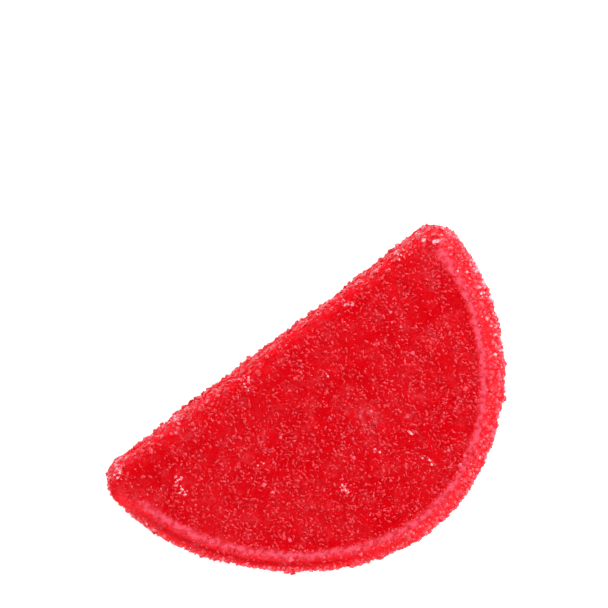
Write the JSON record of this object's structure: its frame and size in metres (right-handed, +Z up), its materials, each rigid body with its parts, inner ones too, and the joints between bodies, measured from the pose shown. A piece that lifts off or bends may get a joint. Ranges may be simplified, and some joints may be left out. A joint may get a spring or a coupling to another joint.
{
  "type": "jelly candy slice",
  "caption": "Half-moon slice of red jelly candy with a pale band under its rind, coated in coarse sugar, lying flat.",
  "frame": {"origin": "on the surface that the slice lies on, below the middle of its bounding box", "axes": "+Z up through the thickness, +X along the straight side, the straight side faces +Y and the arc faces -Y"},
  "size_m": [0.044, 0.0252, 0.0104],
  "materials": {
    "jelly": "translucent red jelly, moist gloss under sugar",
    "pith": "pale pink opaque jelly, soft satin",
    "sugar": "clear coarse sugar crystals"
  },
  "bodies": {
    "root": {"jelly": "jelly", "pith": "pith"}
  },
  "joints": []
}
